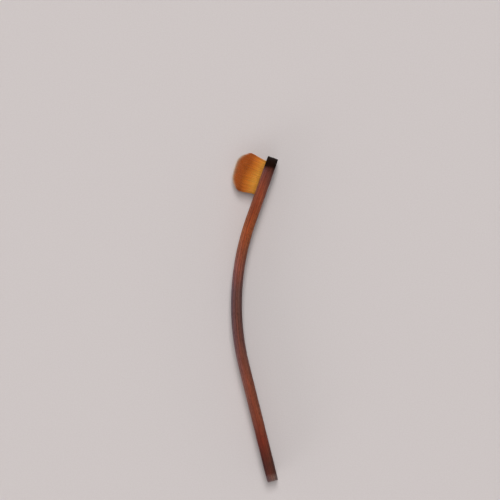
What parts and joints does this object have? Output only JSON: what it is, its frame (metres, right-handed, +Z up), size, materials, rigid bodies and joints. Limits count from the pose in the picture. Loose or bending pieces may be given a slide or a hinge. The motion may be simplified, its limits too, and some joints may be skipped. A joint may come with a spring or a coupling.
{
  "type": "face brush",
  "caption": "Face brush with a dense domed oval tuft set square in the convex face of a slim, bent, laminated wooden handle with round ends.",
  "frame": {"origin": "on the floor, under the middle of the brush's bounding box as it lies on one long side edge", "axes": "+Y runs from the foot end to the head end, +X towards the concave back of the handle, away from the tuft, and +Z up across the handle's width"},
  "size_m": [0.0234, 0.1644, 0.0161],
  "materials": {
    "outer_veneer": "stained red-brown, satin gloss lacquer that darkens to near black at the head end and to dark brown at the foot",
    "core_veneer": "the same stain and lacquer on the veneer's edge",
    "ferrule": "drawn, satin",
    "resin": "cast, clear amber",
    "bristles": "soft synthetic filament, golden at the root and rust brown above it"
  },
  "bodies": {
    "root": {"front_ply": "outer_veneer", "front_core_ply": "core_veneer", "middle_ply": "core_veneer", "back_core_ply": "core_veneer", "back_ply": "outer_veneer", "ferrule_cup": "ferrule", "resin_plug": "resin", "bristle_tuft": "bristles"}
  },
  "joints": []
}
